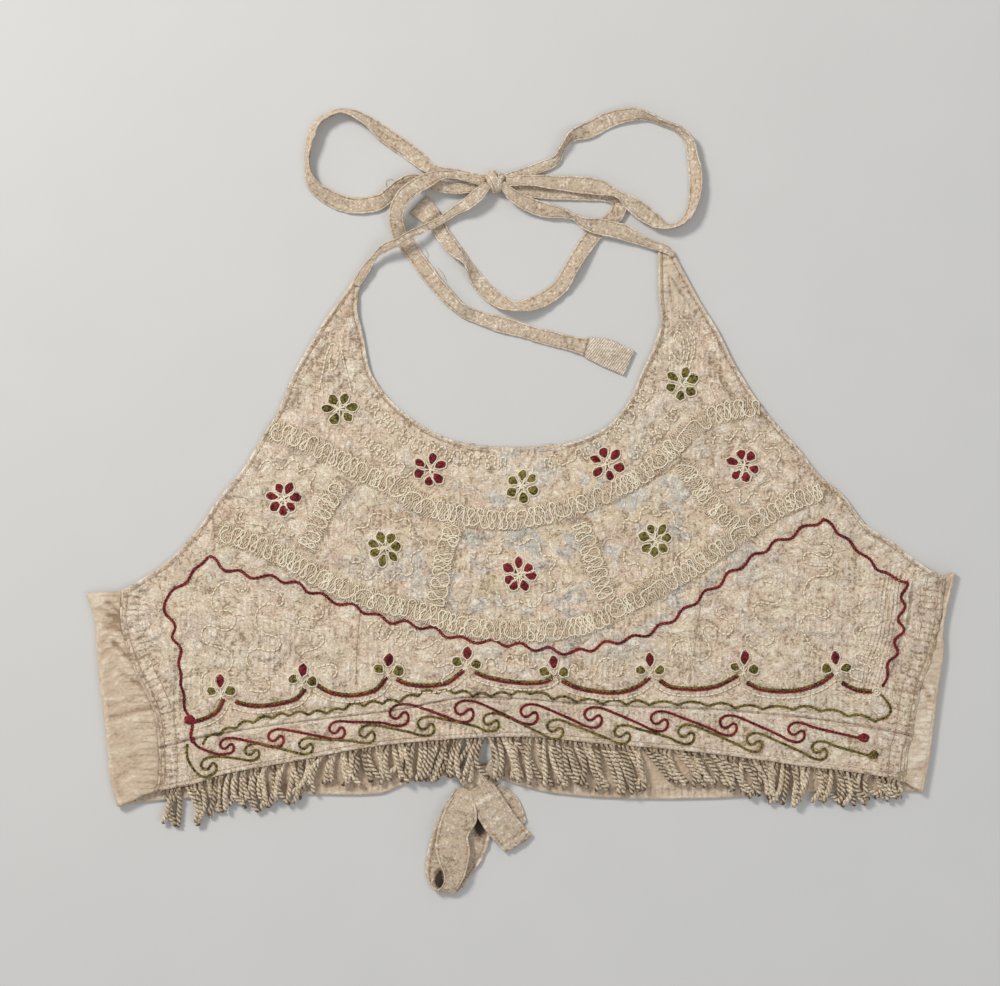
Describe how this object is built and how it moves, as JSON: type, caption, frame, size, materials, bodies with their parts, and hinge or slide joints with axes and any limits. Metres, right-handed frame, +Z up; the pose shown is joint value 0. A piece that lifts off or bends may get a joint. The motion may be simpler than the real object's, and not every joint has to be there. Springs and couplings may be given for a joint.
{
  "type": "halter top",
  "caption": "Embroidered halter top laid flat: quilted front with a twisted fringe at its hem, plain back panels, and cloth ties knotted in a bow at the neck and at the back hem.",
  "frame": {"origin": "middle of the bounding box, on the surface that the top lies on", "axes": "+X along the hem, from the side fold under the left of the picture to the other; +Y from the hem to the neck ties; +Z up, out of the front of the garment"},
  "size_m": [0.446, 0.4034, 0.0105],
  "materials": {
    "quilted_cotton": "matte quilted beige cotton with washed puckers and stitched ornament",
    "plain_twill": "matte beige twill",
    "tie_cloth": "matte beige cotton strip with stitched edges",
    "fringe_yarn": "taupe two-ply twisted yarn with a slight sheen"
  },
  "bodies": {
    "root": {"front_bodice": "quilted_cotton", "front_hem_band": "quilted_cotton", "back_left": "plain_twill", "back_right": "plain_twill", "hem_fringe": "fringe_yarn", "neck_strap_left": "tie_cloth", "neck_strap_right": "tie_cloth", "neck_loop_left": "tie_cloth", "neck_loop_right": "tie_cloth", "neck_tail_left": "tie_cloth", "neck_tail_right": "tie_cloth", "neck_knot": "tie_cloth", "back_tie_knot": "tie_cloth", "back_tie_loop": "tie_cloth", "back_tie_tail": "tie_cloth", "back_tie_tail_under": "tie_cloth"}
  },
  "joints": []
}
